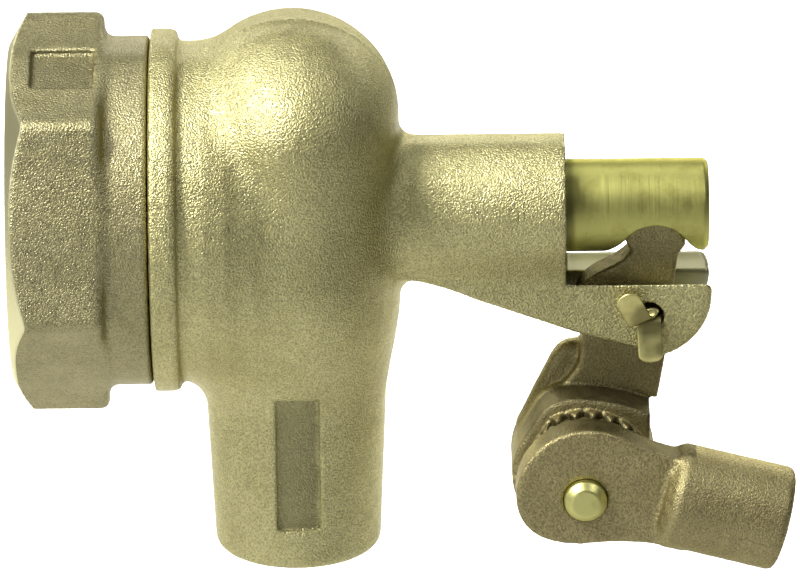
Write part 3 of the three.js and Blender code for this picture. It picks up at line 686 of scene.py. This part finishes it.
def half_round(scale):
    """Corner-rounded half circle, as (away from the flat, along the flat) points."""
    r = PIN_RADIUS
    points = arc(0, 0, r, -78, 78, 20)
    points += bend(points[-1], (0.02, r), (0, r * 0.86), 4)[1:]
    points += [(0, r * 0.4), (0, -r * 0.4), (0, -r * 0.86)]
    points += bend((0, -r * 0.86), (0.02, -r), arc(0, 0, r, -78, 78, 1)[0], 4)[1:-1]
    centre = r * 0.42
    return [(centre + (u - centre) * scale, w * scale) for u, w in points]


def pin_leg(towards, reach, sidestep, shift):
    dx, dz = math.cos(math.radians(towards)), math.sin(math.radians(towards))
    start = -EAR_OUTER + 0.1

    def ring(turn, lead, scale=1.0):
        points = []
        bent = float(smooth(turn / LEG_TURN))
        thin = 1 if lead < -1 else LEG_FLATTEN
        for u, w in half_round(scale):
            radius = BEND_RADIUS - u * thin
            out = BEND_RADIUS - radius * math.cos(turn) + lead * math.sin(turn) + shift * bent
            w = w * (1 + 0.07 * bent) + sidestep * bent
            y = start - radius * math.sin(turn) - lead * math.cos(turn)
            points.append((PIVOT_X + dx * out - dz * w, y, PIVOT_Z + dz * out + dx * w))
        return points

    rings = [ring(0, -6), ring(0, -0.5)]
    rings += [ring(LEG_TURN * k / 12, 0) for k in range(13)]
    rings += [ring(LEG_TURN, reach * k / 4) for k in (1, 2, 3, 4)]
    for k in range(1, 8):
        a = math.pi / 2 * k / 7.4
        rings.append(ring(LEG_TURN, reach + TIP_ROUND * math.sin(a), math.cos(a)))
    return rings


def eye_rings():
    rings = []
    centre = EAR_OUTER + 0.3 + EYE_RADIUS + EYE_WIRE
    for k in range(41):
        a = math.radians(-155 + 310 * k / 40)
        radial = (math.cos(a), math.sin(a))
        rings.append([(
            PIVOT_X + EYE_WIRE * math.sin(b),
            centre + (EYE_RADIUS + EYE_WIRE * math.cos(b)) * radial[0],
            PIVOT_Z + (EYE_RADIUS + EYE_WIRE * math.cos(b)) * radial[1],
        ) for b in np.radians(np.arange(0, 360, 22.5))])
    return rings


def straight_pin():
    return [[(PIVOT_X + PIN_RADIUS * math.cos(a), y, PIVOT_Z + PIN_RADIUS * math.sin(a))
             for a in np.radians(np.arange(0, 360, 9))] for y in (-2.0, EAR_OUTER + 1.4)]


def paint_pin_shade(mesh):
    """Painted shade on the legs where they leave the hole, none at their tips."""
    points = np.array([v.co for v in mesh.vertices]) / MM
    away = np.hypot(points[:, 0] - PIVOT_X, points[:, 2] - PIVOT_Z)
    dark = 0.8 * smooth((2.9 - away) / 1.2) * (points[:, 1] < 0)
    mesh.attributes.new("dark", "FLOAT", "POINT").data.foreach_set("value", dark.astype(np.float32))


def loft_mesh(name, stacks, sharp=35):
    """Closed tubes through stacks of rings, as one mesh."""
    points, faces = [], []
    for rings in stacks:
        base, n = len(points), len(rings[0])
        for ring in rings:
            points += ring
        for k in range(len(rings) - 1):
            for i in range(n):
                a, b = base + k * n + i, base + k * n + (i + 1) % n
                faces.append((a, b, b + n, a + n))
        last = base + (len(rings) - 1) * n
        faces.append(tuple(range(base + n - 1, base - 1, -1)))
        faces.append(tuple(range(last, last + n)))
    mesh = bpy.data.meshes.new(name)
    mesh.from_pydata([[c * MM for c in p] for p in points], [], faces)
    mesh.validate()
    mesh.polygons.foreach_set("use_smooth", np.ones(len(mesh.polygons), bool))
    tidy_normals(mesh)
    mesh.set_sharp_from_angle(angle=math.radians(sharp))
    return mesh


def tidy_normals(mesh):
    shape = bmesh.new()
    shape.from_mesh(mesh)
    bmesh.ops.recalc_face_normals(shape, faces=shape.faces)
    shape.to_mesh(mesh)
    shape.free()
    mesh.update()


# ---- turned inner pieces -------------------------------------------------------------
def eased(points, radius):
    """The closed outline with each corner cut back to a short curve."""
    soft = []
    count = len(points)
    for i, here in enumerate(points):
        before, after = points[i - 1], points[(i + 1) % count]
        ends = []
        for other in (before, after):
            length = math.dist(here, other)
            share = min(radius, 0.4 * length) / length
            ends.append(tuple(here[i] + (other[i] - here[i]) * share for i in (0, 1)))
        soft += bend(ends[0], here, ends[1], 3)
    return soft


def turned_mesh(name, outline_points, easing=0.15, sides=96):
    """A closed outline of (along, radius) points swept round the X axis."""
    profile = eased(outline_points, easing)
    n = len(profile)
    points, faces = [], []
    for k in range(sides):
        a = 2 * math.pi * k / sides
        points += [(x * MM, r * MM * math.cos(a), r * MM * math.sin(a)) for x, r in profile]
        for i in range(n):
            j, m = (i + 1) % n, (k + 1) % sides
            faces.append((k * n + i, k * n + j, m * n + j, m * n + i))
    mesh = bpy.data.meshes.new(name)
    mesh.from_pydata(points, [], faces)
    mesh.polygons.foreach_set("use_smooth", np.ones(len(mesh.polygons), bool))
    tidy_normals(mesh)
    mesh.set_sharp_from_angle(angle=math.radians(40))
    return mesh


def castings():
    body = field_mesh("valve_body_cast", body_field, BODY_LOW, BODY_HIGH, 0.36, 0.009, 11)
    finish_piece("valve_body_cast", body, MAT_BODY, "body", "valve_body")
    inlet = field_mesh("inlet_fitting_cast", inlet_field, INLET_LOW, INLET_HIGH, 0.34, 0.009, 21)
    finish_piece("inlet_fitting_cast", inlet, MAT_INLET, "body", "inlet_fitting")
    low, high = box_mm("lever")
    lever = field_mesh("lever_cast", lever_field, low, high, 0.25, 0.009, 31)
    finish_piece("lever_cast", lever, MAT_LEVER, "lever_group", "lever")
    arm = field_mesh("float_arm_cast", arm_field, ARM_LOW, ARM_HIGH, 0.26, 0.009, 41)
    finish_piece("float_arm_cast", arm, MAT_LEVER, "arm_group", "float_arm")


def brass_parts():
    plunger = field_mesh("plunger_turned", plunger_field, PLUNGER_LOW, PLUNGER_HIGH, 0.22)
    finish_piece("plunger_turned", plunger, MAT_BRASS, "plunger_group", "plunger")
    screw = field_mesh("clamp_screw_turned", screw_field, SCREW_LOW, SCREW_HIGH, 0.12)
    finish_piece("clamp_screw_turned", screw, MAT_BRASS_Y, "arm_group", "clamp_screw")
    pin_lofts = [*(pin_leg(*leg) for leg in LEGS), straight_pin(), eye_rings()]
    pin = loft_mesh("split_pin_bent", pin_lofts)
    paint_pin_shade(pin)
    finish_piece("split_pin_bent", pin, MAT_PIN, "body", "split_pin")


def inner_parts():
    """Rings that lie wholly between the x and radius limits of their CAD node."""
    rings = {
        "body_gasket": ("body", "fibre", MAT_FIBRE, 18.25),
        "seat_gasket": ("body", "fibre", MAT_FIBRE, 12.5),
        "seat_disc": ("plunger_group", "rubber", MAT_RUBBER, 2.0),
        "disc_washer": ("plunger_group", "brass", MAT_BRASS, 2.0),
    }
    for node, (body, slot, material, inner) in rings.items():
        low, high = box_mm(node)
        outer = high[1]
        mesh = turned_mesh(node + "_round", [
            (low[0], inner), (high[0], inner), (high[0], outer), (low[0], outer)])
        finish_piece(node + "_round", mesh, material, body, node)
    for node in ("plunger_o_ring_1", "plunger_o_ring_2"):
        low, high = box_mm(node)
        section = arc((low[0] + high[0]) / 2, high[1] - 0.72, 0.72, 0, 345, 23)
        mesh = turned_mesh(node + "_round", section, 0.01)
        finish_piece(node + "_round", mesh, MAT_RUBBER, "plunger_group", node)
    low, high = box_mm("seat_ring")
    lip = high[0] - 0.9
    seat = [(low[0], 7.6), (low[0], high[1]), (lip - 0.3, high[1]), (lip - 0.3, 11.5),
            (high[0] - 0.8, 9.2), (high[0], 8.7), (high[0], 7.6)]
    mesh = turned_mesh("seat_ring_turned", seat)
    finish_piece("seat_ring_turned", mesh, MAT_BRASS, "body", "seat_ring")
    low, high = box_mm("disc_holder")
    cup = [(low[0], 9.95), (low[0], high[1]), (high[0] - 1.2, high[1]), (high[0], high[1] - 3),
           (high[0], 2.0), (low[0] + 2.3, 2.0), (low[0] + 2.3, 9.95)]
    mesh = turned_mesh("disc_holder_turned", cup)
    finish_piece("disc_holder_turned", mesh, MAT_BRASS, "plunger_group", "disc_holder")


def carried_over():
    """CAD pieces that keep their own shape get only a material."""
    for node, material in (("disc_screw", MAT_BRASS), ("lock_washer", MAT_BRASS_Y)):
        mesh = frame["nodes"][node].data
        mesh.materials.clear()
        mesh.materials.append(material)


# ---- stage, light and camera ---------------------------------------------------------
CAMERA_ELEVATION = 22.0
CAMERA_ROLL = 0.65
CAMERA_DISTANCE = 1.0
FRAME_WIDTH = 98.8
TARGET = (47.6, 0.0, -11.0)
SENSOR_WIDTH = 36
FLOOR_DROP = 0.10
FLOOR_GREY = (0.44, 0.44, 0.44)
WORLD_LEVEL = 0.075


def add_camera():
    data = bpy.data.cameras.new("camera")
    data.sensor_width = SENSOR_WIDTH
    data.lens = SENSOR_WIDTH * CAMERA_DISTANCE / (FRAME_WIDTH * MM)
    data.clip_end = 20
    camera = bpy.data.objects.new("camera", data)
    bpy.context.scene.collection.objects.link(camera)
    e = math.radians(CAMERA_ELEVATION)
    look = Vector((0, math.cos(e), -math.sin(e)))
    turn = look.to_track_quat("-Z", "Y").to_matrix().to_4x4()
    roll = Matrix.Rotation(math.radians(-CAMERA_ROLL), 4, "Z")
    place = Vector(TARGET) * MM - look * CAMERA_DISTANCE
    camera.matrix_world = Matrix.Translation(place) @ turn @ roll
    bpy.context.scene.camera = camera


def add_floor():
    mesh = bpy.data.meshes.new("floor")
    s = 3.0
    z = SPOUT_END * MM - FLOOR_DROP
    mesh.from_pydata([(-s, -s, z), (s, -s, z), (s, s, z), (-s, s, z)], [], [(0, 1, 2, 3)])
    floor = bpy.data.objects.new("floor", mesh)
    bpy.context.scene.collection.objects.link(floor)
    n = Nodes("floor_paint")
    n.shader.inputs["Metallic"].default_value = 0.0
    n.shader.inputs["Base Color"].default_value = (*FLOOR_GREY, 1)
    n.shader.inputs["Roughness"].default_value = 0.9
    mesh.materials.append(n.material)


def add_light(name, aim, azimuth, elevation, distance, size, power):
    data = bpy.data.lights.new(name, "AREA")
    data.shape = "RECTANGLE"
    data.size, data.size_y = size
    data.energy = power
    light = bpy.data.objects.new(name, data)
    bpy.context.scene.collection.objects.link(light)
    a, e = math.radians(azimuth), math.radians(elevation)
    towards = Vector((math.sin(a) * math.cos(e), -math.cos(a) * math.cos(e), math.sin(e)))
    centre = Vector(aim) * MM
    light.matrix_world = Matrix.Translation(centre + towards * distance) @ (
        (-towards).to_track_quat("-Z", "Y").to_matrix().to_4x4())


def add_stage():
    world = bpy.data.worlds.new("studio")
    world.use_nodes = True
    world.node_tree.nodes["Background"].inputs["Color"].default_value = (1, 1, 1, 1)
    world.node_tree.nodes["Background"].inputs["Strength"].default_value = WORLD_LEVEL
    bpy.context.scene.world = world
    add_floor()
    add_light("key", TARGET, -64, 50, 0.8, (0.14, 0.42), 10.2)
    add_light("right_box", TARGET, 56, 48, 0.8, (0.12, 0.30), 1.1)
    add_light("back_top", TARGET, 168, 62, 0.9, (0.6, 0.4), 1.4)
    add_light("left_box", TARGET, -82, 18, 0.8, (0.5, 0.5), 0.8)
    add_light("low_fill", TARGET, -24, -5, 0.9, (0.4, 0.3), 1.0)
    add_light("floor_wash", (45, 370, -144), 0, 90, 0.20, (0.55, 0.36), 5.4)
    bpy.context.scene.view_settings.view_transform = "Standard"


add_camera()
castings()
brass_parts()
inner_parts()
carried_over()
add_stage()
